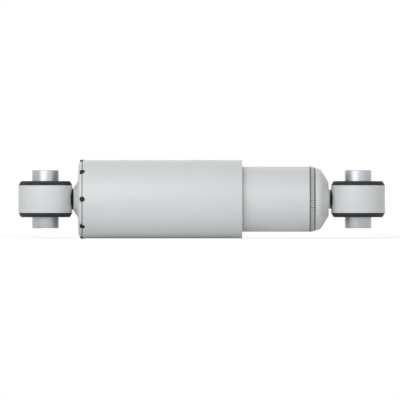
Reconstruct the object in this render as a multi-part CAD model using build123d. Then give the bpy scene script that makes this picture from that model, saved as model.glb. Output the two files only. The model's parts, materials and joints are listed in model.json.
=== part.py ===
from build123d import *
from math import cos, pi, radians, sin, tan
import os

# A twin-tube hydraulic shock absorber for a lorry or trailer axle, with a rubber-bushed eye at each end.
# Lengths are in millimetres and angles in degrees. The origin is the centre of the rod eye, +X runs along
# the damper to the base eye, and +Z runs along the bores of both eyes. The damper is modelled closed.

# Travel between the closed length and full extension
STROKE = 150.0

# Eye ring, rubber bush and sleeve, the same at both ends
RING_OD = 62.0
RING_WALL = 4.5
RING_WIDTH = 32.0
RING_CHAMFER = 0.8
BUSH_FLANGE = 4.8
BUSH_TAPER = 3.0
BUSH_EDGE_ROUND = 1.0
BUSH_DISH_WIDTH = 4.7
BUSH_DISH_DEPTH = 1.2
SLEEVE_OD = 30.5
SLEEVE_BORE = 20.0
SLEEVE_LENGTH = 66.0
SLEEVE_CHAMFER = 0.6
SLEEVE_CLEARANCE = 0.05

# Weld between an eye ring and the tip or stub that carries it
WELD_THROAT = 1.0
WELD_LAP = 0.7
WELD_TRIM = 0.05
WELD_PROUD = 0.2
WELD_FOOT_OD = 20.0
WELD_DEPTH = 2.9
WELD_HOLLOW = 0.3
WELD_TOE_CURVE = 72.0

# Slope of the cap's and the base's cones, from the damper's axis
CONE_ANGLE = 59.0

# Dust cap, a pressing, and the cover that is spot welded to its rim
CAP_TIP_LAND = 2.2
CAP_RISE = 6.0
CAP_SHEET = 2.5
CAP_BEND = 1.5
CAP_PROUD = 5.0
CAP_RIM = 9.0
COVER_CLEARANCE = 6.0
COVER_WALL = 1.5
COVER_OVERLAP = 31.5
SPOT_COUNT = 8
SPOT_OD = 6.2
SPOT_SPREAD = 0.4
SPOT_SINK = 0.2
SPOT_HEIGHT = 0.6

# Reservoir tube, rolled in over the seal pack at its top
HEAD_GAP = 4.5
RESERVOIR_OD = 75.0
RESERVOIR_WALL = 1.6
LIP_WIDTH = 7.5
LIP_BEND = 1.4

# Base cap, its stub, and the welded seam that joins it to the reservoir tube
BASE_SHEET = 4.0
BASE_FACE_OD = 39.0
BASE_BEND = 4.5
BASE_HEIGHT = 22.0
BASE_SKIRT = 10.0
SUMP_DEPTH = 15.0
STUB_OD = 22.6
STUB_TAPER = 0.4
STUB_LENGTH = 2.0
SEAM_WIDTH = 6.8
SEAM_BULGE = 0.5
SEAM_STEP = 0.1
RIPPLE_PITCH = 2.75
RIPPLE_DEPTH = 0.4

# Pressure tube and piston rod
BORE = 45.0
TUBE_WALL = 2.0
ROD_OD = 20.0
ROD_STEP = 3.0
ROD_CHAMFER = 1.0
SHOULDER_CHAMFER = 0.5
ROD_END_SHORT = 0.5

# Seal pack
SEAL_COVER_SHEET = 2.4
WIPER_SECTION = 4.0
WIPER_STAND = 1.0
WIPER_LIP = 1.2
LIP_CLEARANCE = 0.06
LIP_FLAT = 0.8
SEAL_SECTION = 7.0
SEAL_HEIGHT = 8.0
SEAL_WALL = 2.0
SEAL_WEB = 3.0
SEAL_LEG = 2.5
SEAL_RELIEF = 0.8
GARTER_WIRE = 1.6

# Rod guide with its bearing bush, O-ring and oil returns
GUIDE_FLANGE = 12.0
GUIDE_SPIGOT = 15.0
GUIDE_CLEARANCE = 0.5
GUIDE_CHAMFER = 0.8
BEARING_WALL = 1.5
BEARING_LENGTH = 14.0
BEARING_CLEARANCE = 0.03
GROOVE_WIDTH = 3.6
GROOVE_DEPTH = 2.6
O_RING_PLAY = 0.03
RETURN_COUNT = 6
RETURN_HOLE = 3.2
RETURN_WALL = 2.9
RETURN_SLOT_DEPTH = 1.5

# Rebound stop on the rod
BUMPER_GAP = 0.3
BUMPER_SECTION = 6.0
BUMPER_HEIGHT = 6.0
BUMPER_ROUND = 1.5
STOP_SECTION = 7.0
STOP_HEIGHT = 5.0
STOP_CHAMFER = 0.6
SNAP_RING_WIDTH = 2.4
SNAP_RING_SECTION = 2.7
SNAP_GROOVE_DEPTH = 1.2
SNAP_RING_GAP = 4.0
REBOUND_SPACE = 5.4

# Drillings, plates, star springs and shims, the same in the piston and the base valve
VALVE_LIFT = 1.2
HUB_WALL = 2.0
PORT_COUNT = 8
OUTER_PORT = 3.4
OUTER_PORT_INSET = 5.5
INNER_PORT = 3.0
INNER_PORT_INSET = 2.5
GALLERY_WIDTH = 3.4
GALLERY_DEPTH = 0.8
PLATE_SHEET = 1.0
PLATE_LAP = 0.9
PLATE_CLEARANCE = 0.05
STAR_SHEET = 0.4
STAR_ARMS = 6
STAR_ARM_WIDTH = 4.0
STAR_GAP = 0.05
WASHER_SHEET = 1.6
WASHER_HOLE = 4.0
SHIM_COUNT = 3
SHIM_SHEET = 0.3
SHIM_LAP = 1.0
SHIM_STEP = 1.0

# Piston, its band, and the spring and nut of the rebound valve
PISTON_GAP = 0.3
PISTON_HEIGHT = 18.0
PISTON_CHAMFER = 0.6
BAND_WIDTH = 12.0
BAND_SECTION = 1.7
BAND_CLEARANCE = 0.05
BAND_SIDE_PLAY = 0.1
BAND_CUT = 1.0
NECK_WALL = 1.6
NECK_CLEARANCE = 0.1
SPRING_PLATE_SHEET = 2.0
SPRING_PLATE_PILOT = 1.0
SPRING_LENGTH = 12.0
SPRING_WIRE = 2.6
SPRING_TURNS = 3.0
SPRING_ROOM = 1.4
SPRING_SEAT_LAP = 1.2
NUT_FLANGE = 2.0
NUT_WALL = 5.0
NUT_HEX = 5.0

# Base valve
CLOSED_GAP = 2.0
BOLT_OD = 8.0
BOLT_HEAD_OD = 15.0
BOLT_HEAD = 3.0
BOLT_END = 1.0
BODY_SPIGOT = 7.0
BODY_FLANGE = 4.0
FOOT_WALL = 3.5
FOOT_BAND = 3.0
FOOT_SINK = 1.0
FOOT_SLOTS = 6
FOOT_SLOT_WIDTH = 9.0
BACKING_OD = 18.0
BACKING_SHEET = 1.5
BASE_NUT_FLATS = 13.0
BASE_NUT_HEIGHT = 6.5

# Diameters that follow from the sizes above
CONE_SLOPE = tan(radians(CONE_ANGLE))
CONE_SINE = sin(radians(CONE_ANGLE))
RING_RADIUS = RING_OD / 2
CAP_TIP_OD = ROD_OD + 2 * CAP_TIP_LAND
COVER_BORE = RESERVOIR_OD + 2 * COVER_CLEARANCE
COVER_OD = COVER_BORE + 2 * COVER_WALL
RESERVOIR_BORE = RESERVOIR_OD - 2 * RESERVOIR_WALL
TUBE_OD = BORE + 2 * TUBE_WALL
SPIGOT_OD = ROD_OD - 2 * ROD_STEP
LIP_RADIUS = ROD_OD / 2 + LIP_CLEARANCE
WIPER_OD = ROD_OD + 2 * WIPER_SECTION
SEAL_OD = ROD_OD + 2 * SEAL_SECTION
BEARING_BORE = ROD_OD + 2 * BEARING_CLEARANCE
BEARING_OD = BEARING_BORE + 2 * BEARING_WALL
RETURN_CIRCLE = TUBE_OD + 2 * RETURN_WALL + RETURN_HOLE
SNAP_GROOVE_OD = ROD_OD - 2 * SNAP_GROOVE_DEPTH
SNAP_RING_OD = SNAP_GROOVE_OD + 2 * SNAP_RING_SECTION
HUB_OD = SPIGOT_OD + 2 * HUB_WALL
OUTER_CIRCLE = BORE - 2 * OUTER_PORT_INSET
INNER_CIRCLE = HUB_OD + 2 * INNER_PORT_INSET
GALLERY_OD = INNER_CIRCLE + GALLERY_WIDTH
GALLERY_BORE = INNER_CIRCLE - GALLERY_WIDTH
PLATE_OD = OUTER_CIRCLE + OUTER_PORT + 2 * PLATE_LAP
SHIM_OD = GALLERY_OD + 2 * SHIM_LAP
PISTON_OD = BORE - 2 * PISTON_GAP
BAND_OD = BORE - 2 * BAND_CLEARANCE
BAND_BORE = BAND_OD - 2 * BAND_SECTION
BAND_GROOVE_OD = BAND_BORE - 2 * BAND_CLEARANCE
NECK_OD = SPIGOT_OD + 2 * NECK_WALL
NECK_FIT_BORE = NECK_OD + 2 * NECK_CLEARANCE
SPRING_BORE = NECK_OD + 2 * SPRING_ROOM
SPRING_OD = SPRING_BORE + 2 * SPRING_WIRE
SPRING_SEAT_OD = SPRING_OD + 2 * SPRING_SEAT_LAP
NUT_FLATS = SPIGOT_OD + 2 * NUT_WALL
FOOT_BORE = TUBE_OD - 2 * FOOT_WALL

# Stations along the damper's axis, from the centre of the rod eye
HUB_RISE = VALVE_LIFT + PLATE_SHEET
SHIM_STACK = SHIM_COUNT * SHIM_SHEET
CAP_TIP = RING_RADIUS + WELD_THROAT
CAP_FACE = CAP_TIP + CAP_RISE
CAP_INSIDE = CAP_FACE + CAP_SHEET
COVER_START = CAP_FACE + CAP_PROUD
RESERVOIR_TOP = CAP_INSIDE + HEAD_GAP
COVER_END = RESERVOIR_TOP + STROKE + COVER_OVERLAP
SEAL_COVER_TOP = RESERVOIR_TOP + RESERVOIR_WALL
GUIDE_TOP = SEAL_COVER_TOP + SEAL_COVER_SHEET
PRESSURE_TOP = GUIDE_TOP + GUIDE_FLANGE
GUIDE_BOTTOM = PRESSURE_TOP + GUIDE_SPIGOT
BUMPER_TOP = GUIDE_BOTTOM + STROKE + BUMPER_GAP
STOP_TOP = BUMPER_TOP + BUMPER_HEIGHT
STOP_BOTTOM = STOP_TOP + STOP_HEIGHT
SNAP_RING_TOP = STOP_BOTTOM - SNAP_RING_WIDTH
ROD_SHOULDER = STOP_BOTTOM + REBOUND_SPACE
PISTON_FACE = ROD_SHOULDER + WASHER_SHEET + STAR_SHEET + HUB_RISE
PISTON_BOTTOM = PISTON_FACE + PISTON_HEIGHT
SPRING_PLATE_TOP = PISTON_BOTTOM + SHIM_STACK
SPRING_TOP = SPRING_PLATE_TOP + SPRING_PLATE_SHEET
NUT_TOP = SPRING_TOP + SPRING_LENGTH
NUT_BOTTOM = NUT_TOP + NUT_FLANGE + NUT_HEX
BOLT_TOP = NUT_BOTTOM + CLOSED_GAP
BASE_WASHER_TOP = BOLT_TOP + BOLT_HEAD
BODY_FACE = BASE_WASHER_TOP + WASHER_SHEET + STAR_SHEET + HUB_RISE
PRESSURE_BOTTOM = BODY_FACE + BODY_SPIGOT
BODY_BOTTOM = PRESSURE_BOTTOM + BODY_FLANGE
BACKING_TOP = BODY_BOTTOM + SHIM_STACK
BASE_NUT_TOP = BACKING_TOP + BACKING_SHEET
BASE_NUT_BOTTOM = BASE_NUT_TOP + BASE_NUT_HEIGHT
BASE_INSIDE = BODY_BOTTOM + SUMP_DEPTH
BASE_FACE = BASE_INSIDE + BASE_SHEET
BASE_CONE_INSIDE = BASE_FACE - BASE_SHEET / CONE_SINE
FOOT_END = BASE_CONE_INSIDE - (FOOT_BORE - BASE_FACE_OD) / 2 / CONE_SLOPE
RESERVOIR_END = BASE_FACE - BASE_HEIGHT
STUB_END = BASE_FACE + STUB_LENGTH
BASE_EYE = STUB_END + WELD_THROAT + RING_RADIUS


# Shapes that the pieces share


def outline(points, rounds=None):
    """Closed face through (station, radius) points; rounds gives a fillet radius to a point's number."""
    corners = [point for index, point in enumerate(points) if point != points[index - 1]]
    face = make_face(Polyline(*corners, close=True))
    for number, radius in (rounds or {}).items():
        face = fillet(face.vertices().sort_by_distance(Vector(*points[number]))[0], radius)
    return face


def turned(points, rounds=None):
    """Solid turned about the damper's axis."""
    return revolve(outline(points, rounds), Axis.X)


def ring(start, end, outer, bore, outer_chamfer=0.0, bore_chamfer=0.0):
    """Plain ring or tube on the damper's axis, by its two diameters."""
    return turned([
        (start, bore / 2 + bore_chamfer),
        (start, outer / 2 - outer_chamfer),
        (start + outer_chamfer, outer / 2),
        (end - outer_chamfer, outer / 2),
        (end, outer / 2 - outer_chamfer),
        (end, bore / 2 + bore_chamfer),
        (end - bore_chamfer, bore / 2),
        (start + bore_chamfer, bore / 2),
    ])


def prism(sketch, start, end):
    """Sketch drawn square to the damper's axis and extruded along it."""
    return Pos(start, 0, 0) * Rot(0, 90, 0) * extrude(sketch, end - start)


def bar(start, end, diameter):
    """Round bar on the damper's axis."""
    return prism(Circle(diameter / 2), start, end)


def hexagon(start, end, flats):
    """Hexagonal bar on the damper's axis, by its width across flats."""
    return prism(RegularPolygon(flats / 2, 6, major_radius=False), start, end)


def around(shape, count, first=0.0):
    """Copies of a shape, evenly spaced about the damper's axis."""
    return [Rot(first + 360 / count * number, 0, 0) * shape for number in range(count)]


def drillings(start, end, hole, circle, count, first=0.0):
    """Ring of axial drillings, as the bars that cut them."""
    return around(Pos(0, 0, circle / 2) * bar(start, end, hole), count, first)


def upright(shape, station):
    """Shape turned from the damper's axis to an eye's axis, at that eye."""
    return Pos(station, 0, 0) * Rot(0, -90, 0) * shape


# Eyes


def eye_ring(station):
    """Ring cut from tube, which holds the rubber bush."""
    half = RING_WIDTH / 2
    bore = RING_OD - 2 * RING_WALL
    return upright(ring(-half, half, RING_OD, bore, RING_CHAMFER), station)


def eye_bush(station):
    """Rubber bush with a tapered flange outside each face of the ring and a dish round the sleeve."""
    face = RING_WIDTH / 2
    end = face + BUSH_FLANGE
    bore = SLEEVE_OD / 2 + SLEEVE_CLEARANCE
    upper = [
        (end - BUSH_DISH_DEPTH, bore),
        (end, bore + BUSH_DISH_WIDTH),
        (end, RING_RADIUS - BUSH_TAPER),
        (face, RING_RADIUS),
        (face, RING_RADIUS - RING_WALL),
    ]
    lower = [(-along, radius) for along, radius in reversed(upper)]
    rounds = {2: BUSH_EDGE_ROUND, 7: BUSH_EDGE_ROUND}
    return upright(turned(upper + lower, rounds), station)


def eye_sleeve(station):
    """Steel sleeve that the mounting bolt clamps end to end."""
    half = SLEEVE_LENGTH / 2
    sleeve = ring(-half, half, SLEEVE_OD, SLEEVE_BORE, SLEEVE_CHAMFER, SLEEVE_CHAMFER)
    return upright(sleeve, station)


def eye_weld(toe_radius):
    """Weld from the rod eye's ring to the root that carries it, saddle-shaped against the ring."""
    start = RING_RADIUS - WELD_DEPTH
    toe = CAP_TIP + WELD_LAP
    foot = WELD_FOOT_OD / 2
    middle = (foot + toe_radius) / 2 - WELD_HOLLOW
    flank = ThreePointArc((start, foot), ((start + toe) / 2, middle), (toe, toe_radius))
    rest = Polyline((toe, toe_radius), (toe, 0), (start, 0), (start, foot))
    weld = revolve(make_face(Curve() + [flank, rest]), Axis.X)
    curve_centre = toe - WELD_TRIM - WELD_TOE_CURVE
    toe_curve = Pos(curve_centre, 0, 0) * Rot(90, 0, 0) * Cylinder(WELD_TOE_CURVE, RING_OD)
    return (weld - Cylinder(RING_RADIUS, RING_WIDTH)) & toe_curve


# Rod assembly, from the cap to the nut


def dust_cap():
    """Pressed cap with a conical nose round the rod's end and a rim inside the cover."""
    rim = COVER_BORE / 2
    rod = ROD_OD / 2
    tip = CAP_TIP_OD / 2
    inner_tip = CAP_TIP + CAP_SHEET / CONE_SINE
    return turned([
        (CAP_TIP, rod),
        (CAP_TIP, tip),
        (CAP_FACE, tip + CAP_RISE * CONE_SLOPE),
        (CAP_FACE, rim),
        (COVER_START + CAP_RIM, rim),
        (COVER_START + CAP_RIM, rim - CAP_SHEET),
        (CAP_INSIDE, rim - CAP_SHEET),
        (CAP_INSIDE, tip + (CAP_INSIDE - inner_tip) * CONE_SLOPE),
        (inner_tip - CAP_TIP_LAND / CONE_SLOPE, rod),
    ], {3: CAP_BEND + CAP_SHEET, 6: CAP_BEND})


def cover_spot_welds(cap, cover):
    """Domed spot welds on the seam between the cap and the cover's end."""
    spot = SPOT_OD / 2
    root = COVER_BORE / 2 - CAP_BEND
    edge = COVER_OD / 2 - SPOT_SINK
    top = COVER_OD / 2 + SPOT_HEIGHT
    rise = top - edge
    curve = (spot**2 + rise**2) / (2 * rise)
    standing = (Align.CENTER, Align.CENTER, Align.MIN)
    foot = Pos(0, 0, root) * Cone(spot + SPOT_SPREAD, spot, edge - root, align=standing)
    dome = Pos(0, 0, top - curve) * Sphere(curve) & Pos(0, 0, edge) * Cylinder(spot, rise, align=standing)
    weld = Pos(COVER_START, 0, 0) * (foot + dome) - cap - cover
    return Compound([copy.solids()[0] for copy in around(weld, SPOT_COUNT)])


def piston_rod():
    """Chromed rod with a groove for the snap ring, and a threaded spigot that carries the piston."""
    rod = ROD_OD / 2
    spigot = SPIGOT_OD / 2
    end = NUT_BOTTOM - ROD_END_SHORT
    return turned([
        (CAP_TIP, 0),
        (CAP_TIP, rod),
        (SNAP_RING_TOP, rod),
        (SNAP_RING_TOP, SNAP_GROOVE_OD / 2),
        (STOP_BOTTOM, SNAP_GROOVE_OD / 2),
        (STOP_BOTTOM, rod),
        (ROD_SHOULDER - SHOULDER_CHAMFER, rod),
        (ROD_SHOULDER, rod - SHOULDER_CHAMFER),
        (ROD_SHOULDER, spigot),
        (end - ROD_CHAMFER, spigot),
        (end, spigot - ROD_CHAMFER),
        (end, 0),
    ])


def rebound_bumper():
    """Rubber ring that meets the rod guide at full extension."""
    rod = ROD_OD / 2
    outer = rod + BUMPER_SECTION
    return turned(
        [(BUMPER_TOP, rod), (BUMPER_TOP, outer), (STOP_TOP, outer), (STOP_TOP, rod)],
        {1: BUMPER_ROUND, 2: BUMPER_ROUND},
    )


def rebound_stop():
    """Steel collar behind the bumper, recessed over the snap ring."""
    collar = ring(STOP_TOP, STOP_BOTTOM, ROD_OD + 2 * STOP_SECTION, ROD_OD, STOP_CHAMFER)
    return collar - ring(SNAP_RING_TOP, STOP_BOTTOM, SNAP_RING_OD, ROD_OD)


def snap_ring():
    """Split ring in the rod's groove."""
    split = Pos(SNAP_RING_TOP, 0, SNAP_RING_OD / 2) * Box(4 * SNAP_RING_WIDTH, SNAP_RING_GAP, SNAP_RING_OD)
    return ring(SNAP_RING_TOP, STOP_BOTTOM, SNAP_RING_OD, SNAP_GROOVE_OD) - split


def stop_washer(top, bore):
    """Drilled washer that limits the lift of the check plate under it."""
    bottom = top + WASHER_SHEET
    washer = ring(top, bottom, OUTER_CIRCLE, bore)
    return washer - drillings(top, bottom, WASHER_HOLE, INNER_CIRCLE + GALLERY_WIDTH / 2, PORT_COUNT)


def star_spring(top, bore):
    """Thin star spring; its arms slope down to the check plate."""
    hub = HUB_OD / 2
    reach = OUTER_CIRCLE / 2
    drop = VALVE_LIFT - STAR_GAP
    dish = turned([
        (top, bore / 2),
        (top, hub),
        (top + drop, reach),
        (top + drop + STAR_SHEET, reach),
        (top + STAR_SHEET, hub),
        (top + STAR_SHEET, bore / 2),
    ])
    star = Circle(hub)
    for number in range(STAR_ARMS):
        star += Rot(0, 0, 360 / STAR_ARMS * number) * Pos(reach / 2, 0) * Rectangle(reach, STAR_ARM_WIDTH)
    return dish & prism(star, top, top + drop + STAR_SHEET)


def check_plate(face):
    """Ring plate that closes the outer ports and lets oil through to the gallery of the inner ones."""
    top = face - PLATE_SHEET
    plate = ring(top, face, PLATE_OD, HUB_OD + 2 * PLATE_CLEARANCE)
    return plate - drillings(top, face, GALLERY_WIDTH, INNER_CIRCLE, PORT_COUNT)


def ported(body, face, bottom):
    """Valve body with its outer and inner ports and the inner ports' gallery at each face."""
    galleries = [
        ring(face, face + GALLERY_DEPTH, GALLERY_OD, GALLERY_BORE),
        ring(bottom - GALLERY_DEPTH, bottom, GALLERY_OD, GALLERY_BORE),
    ]
    outer = drillings(face, bottom, OUTER_PORT, OUTER_CIRCLE, PORT_COUNT)
    inner = drillings(face, bottom, INNER_PORT, INNER_CIRCLE, PORT_COUNT, 180 / PORT_COUNT)
    return body - galleries - outer - inner


def shims(top, bore):
    """Stack of thin discs, each smaller than the one before."""
    discs = []
    for number in range(SHIM_COUNT):
        start = top + number * SHIM_SHEET
        discs.append(ring(start, start + SHIM_SHEET, SHIM_OD - 2 * number * SHIM_STEP, bore))
    return discs


def piston():
    """Sintered piston with a hub for the check plate and a groove for its band."""
    outer = PISTON_OD / 2
    hub = HUB_OD / 2
    middle = (PISTON_FACE + PISTON_BOTTOM) / 2
    groove = BAND_WIDTH / 2
    body = turned([
        (PISTON_FACE - HUB_RISE, SPIGOT_OD / 2),
        (PISTON_FACE - HUB_RISE, hub),
        (PISTON_FACE, hub),
        (PISTON_FACE, outer - PISTON_CHAMFER),
        (PISTON_FACE + PISTON_CHAMFER, outer),
        (middle - groove, outer),
        (middle - groove, BAND_GROOVE_OD / 2),
        (middle + groove, BAND_GROOVE_OD / 2),
        (middle + groove, outer),
        (PISTON_BOTTOM - PISTON_CHAMFER, outer),
        (PISTON_BOTTOM, outer - PISTON_CHAMFER),
        (PISTON_BOTTOM, SPIGOT_OD / 2),
    ])
    return ported(body, PISTON_FACE, PISTON_BOTTOM)


def piston_band():
    """Low-friction band, cut once so that it springs into the piston's groove."""
    middle = (PISTON_FACE + PISTON_BOTTOM) / 2
    half = BAND_WIDTH / 2 - BAND_SIDE_PLAY
    cut = Pos(middle, 0, BAND_OD / 2) * Box(2 * BAND_WIDTH, BAND_CUT, BAND_OD / 2)
    return ring(middle - half, middle + half, BAND_OD, BAND_BORE) - cut


def rebound_spring_plate():
    """Plate between the rebound discs and their spring, with a pilot inside the coils."""
    bore = NECK_FIT_BORE / 2
    pilot = (SPRING_BORE / 2 + bore) / 2
    return turned([
        (SPRING_PLATE_TOP, bore),
        (SPRING_PLATE_TOP, SPRING_SEAT_OD / 2),
        (SPRING_TOP, SPRING_SEAT_OD / 2),
        (SPRING_TOP, pilot),
        (SPRING_TOP + SPRING_PLATE_PILOT, pilot),
        (SPRING_TOP + SPRING_PLATE_PILOT, bore),
    ])


def rebound_spring():
    """Coil spring of the rebound valve, with its wire cut square at both ends."""
    height = SPRING_LENGTH - SPRING_WIRE
    coil = Helix(pitch=height / SPRING_TURNS, height=height, radius=(SPRING_BORE + SPRING_WIRE) / 2)
    wire = Plane(origin=coil @ 0, z_dir=coil % 0) * Circle(SPRING_WIRE / 2)
    wound = sweep(wire, path=coil, is_frenet=True)
    return Pos(SPRING_TOP + SPRING_WIRE / 2, 0, 0) * Rot(0, 90, 0) * wound


def piston_nut():
    """Nut whose neck clamps the piston and guides the rebound discs, and whose flange seats their spring."""
    flange = NUT_TOP + NUT_FLANGE
    neck = bar(PISTON_BOTTOM, NUT_TOP, NECK_OD)
    seat = bar(NUT_TOP, flange, SPRING_SEAT_OD)
    nut = neck + seat + hexagon(flange, NUT_BOTTOM, NUT_FLATS)
    return nut - bar(PISTON_BOTTOM, NUT_BOTTOM, SPIGOT_OD)


# Cylinder, from the wiper to the base cap


def rod_wiper():
    """Rubber wiper in the seal cover's bore; its lip points outwards along the rod."""
    outer = WIPER_OD / 2
    waist = LIP_RADIUS + WIPER_LIP
    tip = SEAL_COVER_TOP - WIPER_STAND
    return turned([
        (GUIDE_TOP, outer),
        (SEAL_COVER_TOP, outer),
        (tip, waist + WIPER_LIP),
        (tip, LIP_RADIUS),
        (tip + LIP_FLAT, LIP_RADIUS),
        (SEAL_COVER_TOP + WIPER_STAND, waist),
        (GUIDE_TOP, waist),
    ])


def seal_cover():
    """Steel washer over the guide and the seal, rounded to lie in the reservoir tube's bend."""
    outer = RESERVOIR_BORE / 2
    bore = WIPER_OD / 2
    corners = [(SEAL_COVER_TOP, bore), (SEAL_COVER_TOP, outer), (GUIDE_TOP, outer), (GUIDE_TOP, bore)]
    return turned(corners, {1: LIP_BEND})


def garter_spring():
    """Garter spring behind the seal's oil lip, drawn as a plain ring."""
    wire = GARTER_WIRE / 2
    middle = LIP_RADIUS + SEAL_LEG + wire / 2
    return Pos(GUIDE_TOP + SEAL_HEIGHT - 2 * GARTER_WIRE, 0, 0) * Rot(0, 90, 0) * Torus(middle, wire)


def rod_seal(garter):
    """Rod seal: an outer wall and web, a dust lip above, and an oil lip on a leg with a garter spring."""
    outer = SEAL_OD / 2
    bottom = GUIDE_TOP + SEAL_HEIGHT
    web = GUIDE_TOP + SEAL_WEB
    leg = LIP_RADIUS + SEAL_LEG
    relief = LIP_RADIUS + SEAL_RELIEF
    leg_end = bottom - SEAL_RELIEF
    lip = leg_end - SEAL_RELIEF
    body = turned([
        (GUIDE_TOP, outer),
        (bottom, outer),
        (bottom, outer - SEAL_WALL),
        (web, outer - SEAL_WALL),
        (web, leg),
        (leg_end, leg),
        (leg_end, relief),
        (lip, LIP_RADIUS),
        (lip - LIP_FLAT, LIP_RADIUS),
        (lip - LIP_FLAT - SEAL_RELIEF, relief),
        (GUIDE_TOP + LIP_FLAT + SEAL_RELIEF, relief),
        (GUIDE_TOP + LIP_FLAT, LIP_RADIUS),
        (GUIDE_TOP, LIP_RADIUS),
    ])
    return body - garter


def rod_guide():
    """Guide that centres the rod, closes the pressure tube and holds the seal, with oil returns."""
    outer = RESERVOIR_BORE / 2
    flange = turned([
        (GUIDE_TOP, ROD_OD / 2 + GUIDE_CLEARANCE),
        (GUIDE_TOP, outer),
        (PRESSURE_TOP - GUIDE_CHAMFER, outer),
        (PRESSURE_TOP, outer - GUIDE_CHAMFER),
        (PRESSURE_TOP, BORE / 2),
        (GUIDE_BOTTOM - GUIDE_CHAMFER, BORE / 2),
        (GUIDE_BOTTOM, BORE / 2 - GUIDE_CHAMFER),
        (GUIDE_BOTTOM, ROD_OD / 2 + GUIDE_CLEARANCE),
    ])
    middle = (GUIDE_TOP + PRESSURE_TOP) / 2
    groove_bore = RESERVOIR_BORE - 2 * GROOVE_DEPTH
    groove = ring(middle - GROOVE_WIDTH / 2, middle + GROOVE_WIDTH / 2, RESERVOIR_BORE, groove_bore)
    pocket = bar(GUIDE_TOP, GUIDE_TOP + SEAL_HEIGHT, SEAL_OD)
    seat = bar(GUIDE_BOTTOM - BEARING_LENGTH, GUIDE_BOTTOM, BEARING_OD)
    returns = drillings(GUIDE_TOP, PRESSURE_TOP, RETURN_HOLE, RETURN_CIRCLE, RETURN_COUNT)
    slot = Pos(GUIDE_TOP, 0, RETURN_CIRCLE / 4) * Box(2 * RETURN_SLOT_DEPTH, RETURN_HOLE, RETURN_CIRCLE / 2)
    return flange - groove - pocket - seat - returns - around(slot, RETURN_COUNT)


def guide_o_ring():
    """O-ring between the guide and the reservoir tube."""
    section = GROOVE_DEPTH / 2
    middle = (GUIDE_TOP + PRESSURE_TOP) / 2
    return Pos(middle, 0, 0) * Rot(0, 90, 0) * Torus(RESERVOIR_BORE / 2 - section, section - O_RING_PLAY)


def reservoir_tube():
    """Outer tube, rolled in over the seal cover at its top."""
    outer = RESERVOIR_OD / 2
    inner = RESERVOIR_BORE / 2
    return turned([
        (RESERVOIR_TOP, outer - LIP_WIDTH),
        (RESERVOIR_TOP, outer),
        (RESERVOIR_END, outer),
        (RESERVOIR_END, inner),
        (SEAL_COVER_TOP, inner),
        (SEAL_COVER_TOP, outer - LIP_WIDTH),
    ], {1: LIP_BEND + RESERVOIR_WALL, 4: LIP_BEND})


def base_cap():
    """Domed base pressing with a skirt inside the reservoir tube and a stub for the eye."""
    outer = RESERVOIR_BORE / 2
    inner = outer - BASE_SHEET
    face = BASE_FACE_OD / 2
    start = RESERVOIR_END - BASE_SKIRT
    return turned([
        (start, inner),
        (start, outer),
        (BASE_FACE - (outer - face) / CONE_SLOPE, outer),
        (BASE_FACE, face),
        (BASE_FACE, STUB_OD / 2),
        (STUB_END, STUB_OD / 2 - STUB_TAPER),
        (STUB_END, 0),
        (BASE_INSIDE, 0),
        (BASE_INSIDE, face - (BASE_INSIDE - BASE_CONE_INSIDE) * CONE_SLOPE),
        (BASE_CONE_INSIDE - (inner - face) / CONE_SLOPE, inner),
    ], {2: BASE_BEND + BASE_SHEET, 9: BASE_BEND})


def base_seam_weld():
    """Rippled weld bead that runs round the joint of the reservoir tube and the base cap."""
    start = RESERVOIR_END
    end = RESERVOIR_END + SEAM_WIDTH
    high = RESERVOIR_OD / 2 - SEAM_STEP
    low = RESERVOIR_BORE / 2
    crown = ThreePointArc((start, high), ((start + end) / 2, (high + low) / 2 + SEAM_BULGE), (end, low))
    rest = Polyline((end, low), (start, low), (start, high))
    bead = revolve(make_face(Curve() + [crown, rest]), Axis.X)
    count = round(pi * RESERVOIR_OD / RIPPLE_PITCH)
    ripples = []
    for number in range(2 * count):
        radius = high - RIPPLE_DEPTH * (number % 2)
        angle = pi * number / count
        ripples.append((radius * cos(angle), radius * sin(angle)))
    return bead & prism(make_face(Polyline(*ripples, close=True)), start, end)


# Base valve


def base_valve_body(cap):
    """Base valve body: spigot in the pressure tube, flange under its end, slotted foot on the base cap."""
    bolt = BOLT_OD / 2
    hub = HUB_OD / 2
    body = turned([
        (BODY_FACE - HUB_RISE, bolt),
        (BODY_FACE - HUB_RISE, hub),
        (BODY_FACE, hub),
        (BODY_FACE, BORE / 2),
        (PRESSURE_BOTTOM, BORE / 2),
        (PRESSURE_BOTTOM, TUBE_OD / 2),
        (BODY_BOTTOM, TUBE_OD / 2),
        (BODY_BOTTOM, bolt),
    ])
    foot_end = FOOT_END + FOOT_SINK
    foot = ring(BODY_BOTTOM, foot_end, TUBE_OD, FOOT_BORE) - cap
    slot_start = BODY_BOTTOM + FOOT_BAND
    slot_length = foot_end - slot_start
    slot = Pos(slot_start + slot_length / 2, 0, TUBE_OD / 2) * Box(slot_length, FOOT_SLOT_WIDTH, TUBE_OD / 2)
    return ported(body, BODY_FACE, BODY_BOTTOM) + (foot - around(slot, FOOT_SLOTS))


def base_valve_bolt():
    """Bolt that holds the base valve's stack together."""
    end = BASE_NUT_BOTTOM + BOLT_END
    return bar(BOLT_TOP, BASE_WASHER_TOP, BOLT_HEAD_OD) + bar(BASE_WASHER_TOP, end, BOLT_OD)


def base_valve_nut():
    """Nut on the end of the base valve's bolt."""
    blank = hexagon(BASE_NUT_TOP, BASE_NUT_BOTTOM, BASE_NUT_FLATS)
    return blank - bar(BASE_NUT_TOP, BASE_NUT_BOTTOM, BOLT_OD)


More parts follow.
